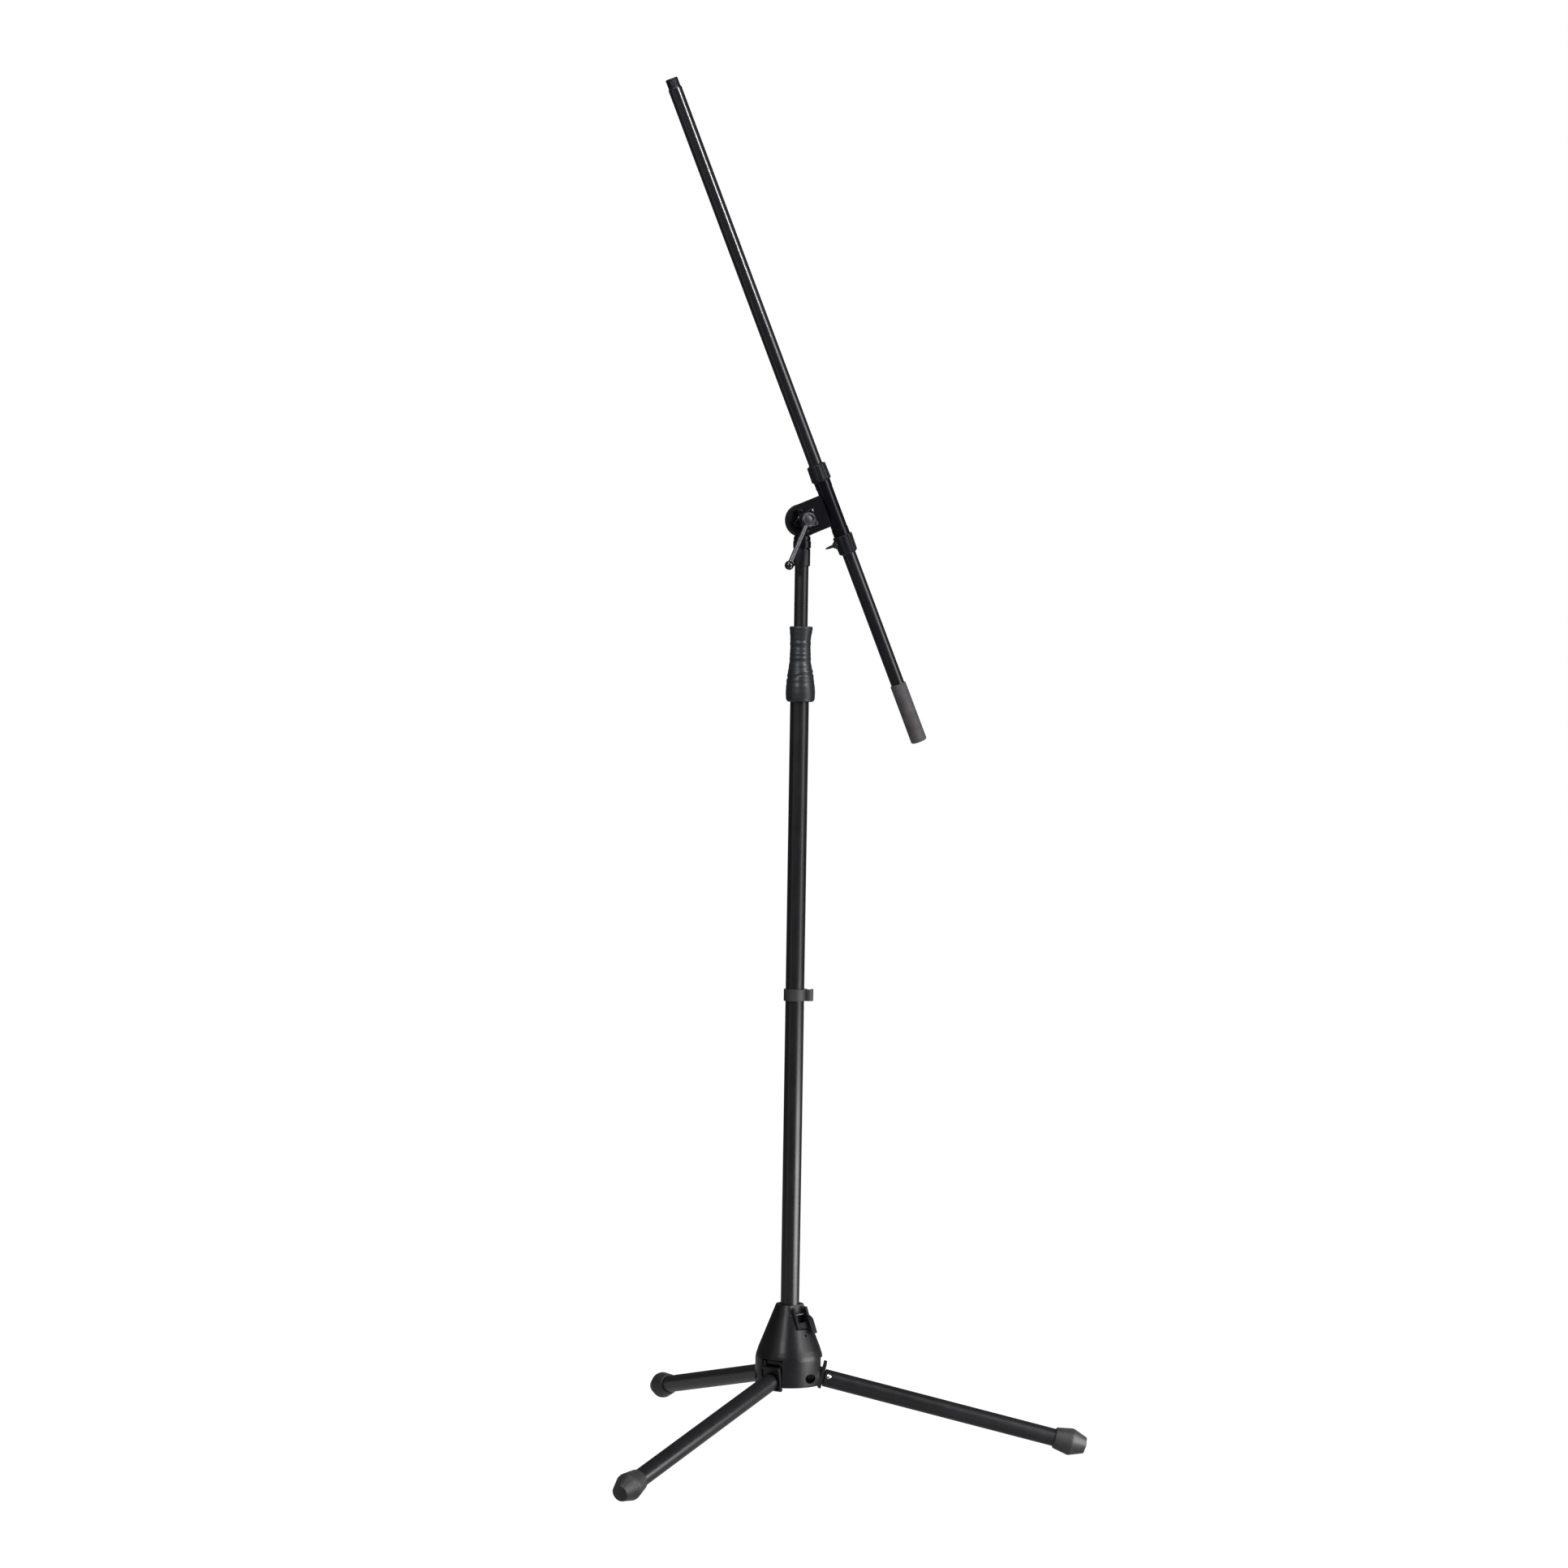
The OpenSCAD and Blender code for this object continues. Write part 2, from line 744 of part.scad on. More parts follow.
// Boom bracket: a clamped disc, a web and the sleeve that the boom slides through
module boom_bracket() {
  color("#26262a")
    tilt_frame()
      difference() {
        union() {
          along_y(disc_r, -disc_half, disc_half);
          translate([0, -disc_half, -disc_r]) cube([boom_offset, 2 * disc_half, 2 * disc_r]);
          translate([boom_offset, 0, sleeve_neck_rear])
            cylinder(r = sleeve_r, h = sleeve_neck_front - sleeve_neck_rear);
          for (z0 = [sleeve_front - band_length, sleeve_rear])
            translate([boom_offset, 0, z0]) cylinder(r = band_r, h = band_length);
        }
        translate([boom_offset, 0, -100]) cylinder(r = sleeve_bore_r, h = 200);
        along_y(bush_outer_r, -20, 20);
        // notches between the web and the bands
        for (side = [-1, 1])
          translate([boom_offset - sleeve_bore_r - notch_wall - notch_r, 0, side * (disc_r + notch_r)])
            along_y(notch_r, -20, 20);
      }
}
module bracket_bush() {
  color("#b0a878")
    translate([0, 0, tilt_z])
      difference() {
        along_y(bush_outer_r, -disc_half, disc_half);
        along_y(bolt_r + run_gap, -20, 20);
      }
}
module sleeve_liner() {
  color("#505054")
    boom_frame()
      ring(liner_r, small_r + run_gap, rear_collar_end + 1, sleeve_neck_front);
}
module front_collar() {
  color("#2c3032")
    boom_frame()
      difference() {
        fluted_ring(collar_r, small_r + free_gap, sleeve_front + 0.3, collar_front, collar_ribs, 1.2);
        cylinder(r = sleeve_r + run_gap, h = sleeve_neck_front + 0.3);
      }
}
module rear_collar() {
  color("#2c3032")
    boom_frame()
      difference() {
        union() {
          fluted_ring(rear_collar_r, liner_r + free_gap, rear_collar_end, sleeve_rear, collar_ribs, 1.6);
          // boss of the thumb screw
          intersection() {
            translate([-rear_collar_r - 0.8, -thumb_boss_r, thumb_s - thumb_boss_r])
              cube([4, 2 * thumb_boss_r, 2 * thumb_boss_r]);
            translate([-30, 0, thumb_s]) rotate([0, 90, 0]) cylinder(r = thumb_boss_r, h = 30);
          }
        }
        translate([0, 0, sleeve_neck_rear]) cylinder(r = sleeve_r, h = 20);
        translate([-30, 0, thumb_s]) rotate([0, 90, 0]) cylinder(r = thumb_screw_r + run_gap, h = 30);
      }
}
module thumb_screw() {
  stem = rear_collar_r + 1.2;
  reach = thumb_reach - stem - 1.6;
  color("#242426")
    boom_frame()
      translate([0, 0, thumb_s])
        rotate([0, -90, 0]) {
          translate([0, 0, liner_r + free_gap]) cylinder(r = thumb_screw_r, h = stem - liner_r - free_gap);
          translate([0, 0, stem]) cylinder(r = 3.6, h = 1.6);
          // paddle: its edge faces along the boom's plane, and it thins toward its end
          translate([0, 0, stem + 1.6])
            intersection() {
              rotate([90, 0, 90])
                linear_extrude(6, center = true)
                  polygon([
                    [-3.4, 0], [-6.8, 3.6], [-6.6, 7.2], [-4.6, reach],
                    [4.6, reach], [6.6, 7.2], [6.8, 3.6], [3.4, 0]
                  ]);
              rotate([90, 0, 0])
                linear_extrude(20, center = true)
                  polygon([[-1.75, 0], [1.75, 0], [0.6, reach], [-0.6, reach]]);
            }
        }
}

// Boom
module boom_tube() {
  color("#18181a")
    boom_frame()
      ring(small_r, small_r - small_wall, -boom_rear + 6, boom_front - thread_length);
}
module boom_stud() {
  color("#1e1e20")
    boom_frame() {
      translate([0, 0, boom_front - thread_length - 20]) cylinder(r = small_r - small_wall, h = 20);
      translate([0, 0, boom_front - thread_length]) cylinder(r = relief_r, h = relief_length);
      translate([0, 0, boom_front - thread_length + relief_length])
        cylinder(r = thread_d / 2, h = thread_length - relief_length - 0.8);
      translate([0, 0, boom_front - 0.8]) cylinder(r1 = thread_d / 2, r2 = thread_d / 2 - 0.8, h = 0.8);
    }
}
module boom_end_plug() {
  color("#242426")
    boom_frame()
      translate([0, 0, -boom_rear + 6]) cylinder(r = small_r - small_wall, h = 16);
}
module counterweight_core() {
  color("#707072")
    boom_frame()
      ring(weight_r - 1.4, small_r, -boom_rear + 6, -boom_rear + weight_length - 2);
}
module counterweight_sleeve() {
  color("#4a474a")
    boom_frame()
      difference() {
        rotate_extrude()
          polygon([
            [0, -boom_rear], [weight_r - 1, -boom_rear], [weight_r, -boom_rear + 1],
            [weight_r, -boom_rear + weight_length - 1.2], [weight_r - 1.2, -boom_rear + weight_length],
            [0, -boom_rear + weight_length]
          ]);
        translate([0, 0, -boom_rear + 6]) cylinder(r = weight_r - 1.4, h = weight_length - 8);
        translate([0, 0, -boom_rear + 6]) cylinder(r = small_r, h = weight_length);
      }
}

hub_body();
tube_bolt();
tube_washer();
tube_plug();
trigger_pin();
trigger_spring();
release_trigger();
lower_tube();
clutch_body();
clutch_collet();
clutch_grip();
cable_clip();
for (i = [1 : leg_count]) {
  leg_pivot_screw(i);
  leg_knuckle(i);
  leg_tube(i);
  leg_rivet(i);
  leg_foot(i);
}
upper_tube();
upper_tube_bush();
upper_tube_stud();
coupling_nut();
swivel_collar();
fork();
friction_disc(-1);  // friction_disc_near
friction_disc(1);  // friction_disc_far
clamp_bolt();
clamp_nut();
lever_star();
lever_hub();
lever_rod();
lever_ball();
boom_bracket();
bracket_bush();
rear_collar();
thumb_screw();
sleeve_liner();
front_collar();
boom_tube();
boom_stud();
boom_end_plug();
counterweight_core();
counterweight_sleeve();
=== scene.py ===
"""Boom microphone stand: the visible pieces, their finishes, the camera and the studio."""
import json
import math

import bmesh
import bpy
from mathutils import Matrix, Vector


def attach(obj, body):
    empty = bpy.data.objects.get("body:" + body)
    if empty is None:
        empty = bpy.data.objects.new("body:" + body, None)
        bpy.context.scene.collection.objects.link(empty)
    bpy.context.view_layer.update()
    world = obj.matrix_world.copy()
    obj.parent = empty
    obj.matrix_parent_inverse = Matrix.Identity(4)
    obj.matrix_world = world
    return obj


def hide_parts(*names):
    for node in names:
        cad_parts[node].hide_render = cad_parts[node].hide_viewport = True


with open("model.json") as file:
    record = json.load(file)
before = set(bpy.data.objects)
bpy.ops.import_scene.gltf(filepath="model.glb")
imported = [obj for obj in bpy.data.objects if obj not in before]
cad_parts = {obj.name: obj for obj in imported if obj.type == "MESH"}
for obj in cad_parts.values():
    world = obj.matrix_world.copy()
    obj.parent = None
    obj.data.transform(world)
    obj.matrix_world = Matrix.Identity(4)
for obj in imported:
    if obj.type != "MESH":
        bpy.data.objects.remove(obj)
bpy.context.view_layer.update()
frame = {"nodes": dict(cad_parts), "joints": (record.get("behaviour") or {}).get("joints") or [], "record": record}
JOINTS = {j["name"]: j for j in frame["joints"]}
NODE_SLOT = {p["node"]: p["material_slot"] for p in frame["record"]["subparts"]}
NODE_BODY = {n: b for b, ns in frame["record"]["behaviour"]["bodies"].items() for n in ns}
MM = 0.001
TAU = 2 * math.pi
COAT_ROUGHNESS = 0.12
WHITE = (1, 1, 1, 1)
BLACK = (0, 0, 0, 1)

# ---------------------------------------------------------------- materials


class Nodes:
    """Builds one material's node tree. Lengths in it are in millimetres of the object itself."""

    def __init__(self, name):
        self.material = bpy.data.materials.new(name)
        self.material.use_nodes = True
        self.tree = self.material.node_tree
        self.bsdf = self.tree.nodes["Principled BSDF"]
        coords = self.tree.nodes.new("ShaderNodeTexCoord")
        self.mm = self.new("ShaderNodeMapping", Vector=coords.outputs["Object"], Scale=(1 / MM,) * 3)
        self.height = None

    def new(self, kind, out=0, **inputs):
        node = self.tree.nodes.new(kind)
        for key, value in inputs.items():
            self.put(node.inputs[key], value)
        return node.outputs[out]

    def put(self, socket, value):
        if isinstance(value, bpy.types.NodeSocket):
            self.tree.links.new(value, socket)
        else:
            socket.default_value = value

    def stretched(self, scale):
        return self.new("ShaderNodeMapping", Vector=self.mm, Scale=scale)

    def noise(self, scale, detail=3.0, rough=0.55, vector=None, distortion=0.0):
        return self.new("ShaderNodeTexNoise", Vector=vector or self.mm, Scale=scale, Detail=detail,
                        Roughness=rough, Distortion=distortion)

    def cells(self, scale, vector=None):
        return self.new("ShaderNodeTexVoronoi", Vector=vector or self.mm, Scale=scale)

    def span(self, value, low, high, to_low, to_high):
        node = self.tree.nodes.new("ShaderNodeMapRange")
        names = ("Value", "From Min", "From Max", "To Min", "To Max")
        for key, v in zip(names, (value, low, high, to_low, to_high)):
            self.put(node.inputs[key], v)
        return node.outputs[0]

    def math(self, kind, a, b=0.0):
        node = self.tree.nodes.new("ShaderNodeMath")
        node.operation = kind
        self.put(node.inputs[0], a)
        self.put(node.inputs[1], b)
        return node.outputs[0]

    def blend(self, factor, a, b):
        node = self.tree.nodes.new("ShaderNodeMix")
        node.data_type = "RGBA"
        self.put(node.inputs[0], factor)
        self.put(node.inputs[6], a)
        self.put(node.inputs[7], b)
        return node.outputs[2]

    def bump(self, height, depth_mm, strength=1.0):
        node = self.tree.nodes.new("ShaderNodeBump")
        self.put(node.inputs["Height"], height)
        node.inputs["Distance"].default_value = depth_mm * MM
        node.inputs["Strength"].default_value = strength
        if self.height is not None:
            self.tree.links.new(self.height, node.inputs["Normal"])
        self.height = node.outputs[0]
        self.tree.links.new(self.height, self.bsdf.inputs["Normal"])

    def glow(self):
        self.bsdf.inputs["Emission Color"].default_value = WHITE
        self.bsdf.inputs["Emission Strength"].default_value = 1.0

    def worn_edges(self, colour, edge_colour, amount):
        """Lightens the exposed edges, broken up by a fine noise."""
        geometry = self.tree.nodes.new("ShaderNodeNewGeometry")
        edge = self.span(geometry.outputs["Pointiness"], 0.52, 0.62, 0.0, 1.0)
        patch = self.span(self.noise(1.3, 4.0), 0.42, 0.62, 0.15, 1.0)
        mask = self.math("MULTIPLY", self.math("MULTIPLY", edge, patch), amount)
        return self.blend(mask, colour, edge_colour)


def shade(colour, factor):
    """The colour made darker or lighter, with its alpha."""
    return (*(min(1.0, c * factor) for c in colour), 1.0)


def coated(name, colour, rough, gloss_coat, orange_peel, specular=0.5, speck=1.6, edge=0.35):
    """Powder coat or paint on metal: fine orange peel, faint cloudiness, dust specks, worn edges."""
    n = Nodes(name)
    cloud = n.noise(0.035, 4.0)
    fine = n.noise(2.2, 3.0)
    body = n.blend(n.span(cloud, 0.35, 0.65, 0.0, 1.0), shade(colour, 0.82), shade(colour, 1.22))
    dust = n.span(fine, 0.62, 0.75, 0.0, 0.35)
    body = n.blend(dust, body, shade(colour, speck))
    n.put(n.bsdf.inputs["Base Color"], n.worn_edges(body, shade(colour, 4.0), edge))
    smear = n.noise(0.09, 5.0, 0.6, n.stretched((1.0, 1.0, 0.35)))
    n.put(n.bsdf.inputs["Roughness"], n.span(smear, 0.3, 0.7, rough * 0.92, rough * 1.14))
    n.bump(n.noise(0.45, 2.0), orange_peel)
    n.bump(n.noise(4.0, 2.0), orange_peel * 0.12)
    n.bsdf.inputs["Coat Weight"].default_value = gloss_coat
    n.bsdf.inputs["Coat Roughness"].default_value = COAT_ROUGHNESS
    n.bsdf.inputs["Specular IOR Level"].default_value = specular
    return n.material


def moulded(name, colour, rough, grain, grain_scale=2.6, edge=0.25, specular=0.5):
    """Moulded plastic: spark-eroded grain, faint flow lines, a little rubbing on the edges."""
    n = Nodes(name)
    flow = n.noise(0.05, 4.0, 0.5, n.stretched((1.0, 1.0, 0.3)), 0.6)
    body = n.blend(n.span(flow, 0.35, 0.65, 0.0, 1.0), shade(colour, 0.85), shade(colour, 1.18))
    speckle = n.span(n.noise(3.4, 2.0), 0.5, 0.8, 0.0, 0.4)
    body = n.blend(speckle, body, shade(colour, 1.5))
    n.put(n.bsdf.inputs["Base Color"], n.worn_edges(body, shade(colour, 3.2), edge))
    polish = n.noise(0.12, 4.0)
    n.put(n.bsdf.inputs["Roughness"], n.span(polish, 0.3, 0.7, rough * 0.92, rough * 1.14))
    n.bump(n.cells(grain_scale), grain)
    n.bump(n.noise(grain_scale * 2.5, 2.0), grain * 0.5)
    n.bsdf.inputs["Specular IOR Level"].default_value = specular
    return n.material


def rubbery(name, colour, rough, pores):
    """Rubber: porous micro surface, chalky bloom in patches, scuffs in streaks."""
    n = Nodes(name)
    bloom = n.span(n.noise(0.07, 5.0, 0.6), 0.42, 0.68, 0.0, 1.0)
    body = n.blend(bloom, shade(colour, 0.86), shade(colour, 1.28))
    scuff = n.span(n.noise(0.5, 6.0, 0.7, n.stretched((1.0, 0.25, 1.0))), 0.6, 0.74, 0.0, 0.35)
    body = n.blend(scuff, body, shade(colour, 2.0))
    n.put(n.bsdf.inputs["Base Color"], body)
    wear = n.noise(0.3, 4.0)
    n.put(n.bsdf.inputs["Roughness"], n.span(wear, 0.3, 0.7, rough * 0.88, min(1.0, rough * 1.15)))
    n.bump(n.noise(3.6, 4.0, 0.7), pores)
    n.bump(n.cells(1.8), pores * 0.5)
    n.bsdf.inputs["Sheen Weight"].default_value = 0.12
    n.bsdf.inputs["Sheen Roughness"].default_value = 0.4
    return n.material


def metal(name, colour, rough, streak=(1.0, 1.0, 0.05), tarnish=0.25, groove=0.006):
    """Plated or turned metal: fine tool marks, uneven polish, faint tarnish."""
    n = Nodes(name)
    marks = n.noise(2.2, 4.0, 0.65, n.stretched(streak))
    stain = n.span(n.noise(0.16, 5.0, 0.6), 0.45, 0.7, 0.0, tarnish)
    body = n.blend(n.span(marks, 0.3, 0.7, 0.0, 1.0), shade(colour, 0.86), shade(colour, 1.08))
    n.put(n.bsdf.inputs["Base Color"], n.blend(stain, body, shade(colour, 0.55)))
    n.put(n.bsdf.inputs["Roughness"], n.span(marks, 0.3, 0.7, rough * 0.86, rough * 1.25))
    n.bump(marks, groove)
    n.bsdf.inputs["Metallic"].default_value = 1.0
    return n.material


MATERIALS = {
    "black_tube": coated("black_tube", (0.0083, 0.0078, 0.0093), 0.31, 0.0, 0.002),
    "boom_gloss": coated("boom_gloss", (0.0055, 0.0050, 0.0075), 0.33, 0.9, 0.001, 0.35),
    "hub_shell": moulded("hub_shell", (0.0088, 0.0081, 0.0095), 0.32, 0.004, 2.6, 0.25, 0.30),
    "knuckle_casting": coated("knuckle_casting", (0.0045, 0.0043, 0.0052), 0.33, 0.0, 0.004),
    "grip_plastic": moulded("grip_plastic", (0.0172, 0.0194, 0.0215), 0.37, 0.004),
    "clip_plastic": moulded("clip_plastic", (0.032, 0.031, 0.033), 0.5, 0.010),
    "head_casting": coated("head_casting", (0.0026, 0.0026, 0.0046), 0.33, 0.5, 0.003, 0.08),
    "collar_plastic": moulded("collar_plastic", (0.0085, 0.0095, 0.0115), 0.33, 0.004, 2.6, 0.25, 0.3),
    "liner_plastic": moulded("liner_plastic", (0.075, 0.075, 0.08), 0.45, 0.006),
    "foot_rubber": rubbery("foot_rubber", (0.021, 0.0195, 0.0195), 0.50, 0.020),
    "weight_rubber": rubbery("weight_rubber", (0.060, 0.055, 0.059), 0.66, 0.030),
    "dark_steel": metal("dark_steel", (0.09, 0.09, 0.10), 0.38),
    "steel": metal("steel", (0.17, 0.17, 0.18), 0.38, (1.0, 1.0, 0.2), 0.25, 0.001),
    "bright_steel": metal("bright_steel", (0.86, 0.86, 0.87), 0.16, (1.0, 1.0, 1.0), 0.1, 0.002),
    "ball_chrome": metal("ball_chrome", (0.075, 0.070, 0.075), 0.2, (1.0, 1.0, 1.0), 0.1, 0.002),
    "friction_fibre": moulded("friction_fibre", (0.10, 0.078, 0.052), 0.85, 0.05, 1.2),
    "brass": metal("brass", (0.72, 0.56, 0.27), 0.3),
}

# ---------------------------------------------------------------- carried-over CAD nodes

BEVEL_MM = {"hub_body": 0.9, "boom_bracket": 0.8, "fork": 0.6, "release_trigger": 0.7,
            "coupling_nut": 0.4, "cable_clip": 0.5, "thumb_screw": 0.5}
BEVEL_DEFAULT_MM = 0.3
BEVEL_STEPS = 3
BEVEL_FROM = math.radians(32)
FLAT_WITHIN = math.radians(0.6)
WELD_M = 0.00001
NORMAL_WEIGHT = 60


def smooth_faces(data):
    for poly in data.polygons:
        poly.use_smooth = True


def weighted_normals(made):
    smooth = made.modifiers.new("smooth", "WEIGHTED_NORMAL")
    smooth.keep_sharp = True
    smooth.weight = NORMAL_WEIGHT


def dress(name, node):
    """Gives a CAD node its finish, joins its flat facets and softens its edges."""
    node.data.materials.clear()
    node.data.materials.append(MATERIALS[NODE_SLOT[name]])
    weld = node.modifiers.new("weld", "WELD")
    weld.merge_threshold = WELD_M
    flats = node.modifiers.new("flats", "DECIMATE")
    flats.decimate_type = "DISSOLVE"
    flats.angle_limit = FLAT_WITHIN
    edge = node.modifiers.new("edge", "BEVEL")
    edge.width = BEVEL_MM.get(name, BEVEL_DEFAULT_MM) * MM
    edge.segments = BEVEL_STEPS
    edge.limit_method = "ANGLE"
    edge.angle_limit = BEVEL_FROM
    edge.use_clamp_overlap = True
    edge.harden_normals = False
    weighted_normals(node)
    smooth_faces(node.data)


for node_name, cad_node in frame["nodes"].items():
    dress(node_name, cad_node)

# ---------------------------------------------------------------- mesh tools


def axes(origin, z_axis, y_axis, scale=MM):
    """Local millimetres to the shared frame: z along z_axis, y near y_axis."""
    z = Vector(z_axis).normalized()
    x = Vector(y_axis).cross(z).normalized()
    y = z.cross(x)
    place = Matrix((x * scale, y * scale, z * scale)).transposed().to_4x4()
    place.translation = Vector(origin)
    return place


def fillet(points, radius, steps=4, closed=True):
    """Rounds the corners of a 2D outline. radius is one number, or one for each point."""
    out = []
    count = len(points)
    for i, point in enumerate(points):
        r = radius[i] if isinstance(radius, (list, tuple)) else radius
        here, before, after = Vector(point), Vector(points[i - 1]), Vector(points[(i + 1) % count])
        if r <= 0 or (not closed and i in (0, count - 1)):
            out.append(tuple(here))
            continue
        u, v = (before - here), (after - here)
        angle = u.angle(v)
        if angle > math.radians(177):
            out.append(tuple(here))
            continue
        reach = min(r / math.tan(angle / 2), 0.48 * u.length, 0.48 * v.length)
        u.normalize()
        v.normalize()
        rr = reach * math.tan(angle / 2)
        centre = here + (u + v).normalized() * (rr / math.sin(angle / 2))
        start, end = here + u * reach - centre, here + v * reach - centre
        for k in range(steps + 1):
            out.append(tuple(centre + start.slerp(end, k / steps)))
    return out


def dense(points, step):
    """Splits the long edges of an open outline."""
    out = [points[0]]
    for p, q in zip(points, points[1:]):
        n = max(1, math.ceil((Vector(q) - Vector(p)).length / step))
        out += [tuple(Vector(p).lerp(Vector(q), k / n)) for k in range(1, n + 1)]
    return out


def closed_rows(outline, step):
    """Splits the long edges of a closed outline."""
    return dense(outline + outline[:1], step)[:-1]


def lathe(name, profile, place, shape=None, segments=96):
    """Turns an (r, z) outline about local Z. It starts and ends on the axis, or is closed.
    shape(angle, r, z) may move a point, and returns its new (r, z)."""
    mesh = bmesh.new()
    solid = profile[0][0] == 0 and profile[-1][0] == 0
    poles = {}
    rings = []
    for k in range(segments):
        angle = TAU * k / segments
        ring = []
        for j, (r, z) in enumerate(profile):
            if r == 0:
                if j not in poles:
                    poles[j] = mesh.verts.new(place @ Vector((0, 0, z)))
                ring.append(poles[j])
                continue
            rr, zz = shape(angle, r, z) if shape else (r, z)
            point = Vector((rr * math.cos(angle), rr * math.sin(angle), zz))
            ring.append(mesh.verts.new(place @ point))
        rings.append(ring)
    edges = len(profile) - 1 if solid else len(profile)
    for a, b in zip(rings, rings[1:] + rings[:1]):
        for j in range(edges):
            jj = (j + 1) % len(profile)
            corners = [a[j], a[jj], b[jj], b[j]]
            kept = [v for i, v in enumerate(corners) if v not in corners[:i]]
            mesh.faces.new(kept)
    return finished(name, mesh)


def finished(name, mesh):
    """Makes the smooth mesh data of a bmesh, its faces turned outward."""
    bmesh.ops.recalc_face_normals(mesh, faces=mesh.faces)
    data = bpy.data.meshes.new(name)
    mesh.to_mesh(data)
    mesh.free()
    smooth_faces(data)
    return data


def piece(mesh, nodes, slot=None, body=None):
    """Puts a finished mesh in the scene in the place of CAD nodes, or beside them on their body."""
    slot = slot or NODE_SLOT[nodes[0]]
    mesh.materials.append(MATERIALS[slot])
    made = bpy.data.objects.new(mesh.name, mesh)
    bpy.context.scene.collection.objects.link(made)
    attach(made, body or NODE_BODY[nodes[0]])
    if nodes:
        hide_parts(*nodes)
    weighted_normals(made)
    return made


def hump(x, width):
    return math.exp(-(x / width) ** 2)


def table(points, x):
    """Smooth interpolation in a short table of (x, value)."""
    if x <= points[0][0]:
        return points[0][1]
    for (x0, y0), (x1, y1) in zip(points, points[1:]):
        if x <= x1:
            t = (x - x0) / (x1 - x0)
            return y0 + (y1 - y0) * t * t * (3 - 2 * t)
    return points[-1][1]


# ---------------------------------------------------------------- the stand's own axes

Y_AXIS = (0, 1, 0)
LEGS = (1, 2, 3)
VIEW_TURN = math.radians(18.0)
PIVOT = Vector(JOINTS["boom_tilt"]["pos_m"])
MAST = axes((0, 0, 0), (0, 0, 1), Y_AXIS)
BOOM = axes(JOINTS["boom_roll"]["pos_m"], JOINTS["boom_roll"]["axis"], Y_AXIS)
FACE = axes(PIVOT, (0, -1, 0), (0, 0, 1))
LEVER_ANGLE = math.radians(23)
LEVER = axes(PIVOT, (math.sin(LEVER_ANGLE), 0, math.cos(LEVER_ANGLE)), Y_AXIS)
LEG_SLOPE = math.radians(90 - JOINTS["leg_1_fold"]["range_deg"][1])


def leg_axes(i):
    joint = JOINTS[f"leg_{i}_fold"]
    side = Vector(joint["axis"])
    out = side.cross(Vector((0, 0, 1)))
    return axes(joint["pos_m"], out * math.cos(LEG_SLOPE) - Vector((0, 0, math.sin(LEG_SLOPE))), side)


def span_z(node, place=None):
    """Lowest and highest local Z of a node, in millimetres."""
    back = (place or MAST).inverted()
    zs = [(back @ v.co).z for v in frame["nodes"][node].data.vertices]
    return min(zs), max(zs)


def reach_r(node, place=None):
    """Greatest distance of a node from the local Z axis, in millimetres."""
    back = (place or MAST).inverted()
    points = [back @ v.co for v in frame["nodes"][node].data.vertices]
    return max(math.hypot(p.x, p.y) for p in points)


# ---------------------------------------------------------------- tubes


def tube(node, place, wall, rim=0.35):
    low, high = span_z(node, place)
    r = reach_r(node, place)
    outline = fillet([(r - wall, low), (r, low), (r, high), (r - wall, high)], rim, 3)
    rows = closed_rows(outline, 60)
    return piece(lathe(node + "_skin", rows, place), [node])


WIDE_WALL = 1.5
THIN_WALL = 1.1
tube("lower_tube", MAST, WIDE_WALL)
tube("upper_tube", MAST, THIN_WALL)
tube("boom_tube", BOOM, THIN_WALL)
for leg in LEGS:
    tube(f"leg_{leg}_tube", leg_axes(leg), WIDE_WALL)

# ---------------------------------------------------------------- microphone thread

PITCH = 25.4 / 27
THREAD_DEPTH = 0.54


def thread():
    low, high = span_z("boom_stud", BOOM)
    r = reach_r("boom_stud", BOOM)
    start = span_z("boom_tube", BOOM)[1]
    rows = [(0.0, low), (r - 1.1, low), (r - 1.1, start - 0.02), (r - 0.5, start - 0.01)]
    steps = round((high - start) / (PITCH / 10))
    rows += [(r, start + (high - start) * k / steps) for k in range(steps + 1)]
    rows += [(r - 1.1, high), (r - 1.6, high - 0.25), (0.0, high - 0.25)]

    def shape(angle, rr, z):
        if rr < r - 0.4:
            return rr, z
        phase = (z / PITCH - angle / TAU) % 1.0
        flank = min(1.0, max(0.0, (abs(phase - 0.5) * 2 - 0.12) / 0.76))
        cut = THREAD_DEPTH * flank
        runout = max(0.0, 1 - (z - start) / 1.4)
        tip = max(0.0, 1 - (high - z) / 0.9)
        return rr - max(cut * (1 - runout * 0.2), 0.85 * tip, 0.42 * runout), z

    piece(lathe("boom_thread", rows, BOOM, shape, 96), ["boom_stud"])


thread()

# ---------------------------------------------------------------- clutch grip

GRIP_RADIUS = [(0, 14.4), (0.7, 16.2), (2.2, 17.5), (5, 18.15), (11, 18.4), (18, 18.1),
               (25, 17.25), (31, 16.4), (37, 15.6), (43.5, 14.4), (50.5, 13.4), (58, 13.0),
               (72, 12.85), (80, 13.05), (88, 14.0), (92.2, 14.55), (93.4, 14.3), (94, 13.6)]
GRIP_SHIFT = [(0, 0.9), (12, 0.85), (31, 0.55), (50, 0.0), (76, 0.0), (92, 0.6), (94, 0.6)]
GRIP_RIDGES = [(76.5, -0.5, 1.7), (73.0, 0.55, 1.5), (68.0, -0.45, 2.4), (59.5, 0.5, 1.4),
               (54.5, 0.6, 1.5), (50.3, -0.5, 1.5)]
GRIP_CREASE = 33.0
CREASE_SLANT = 2.8


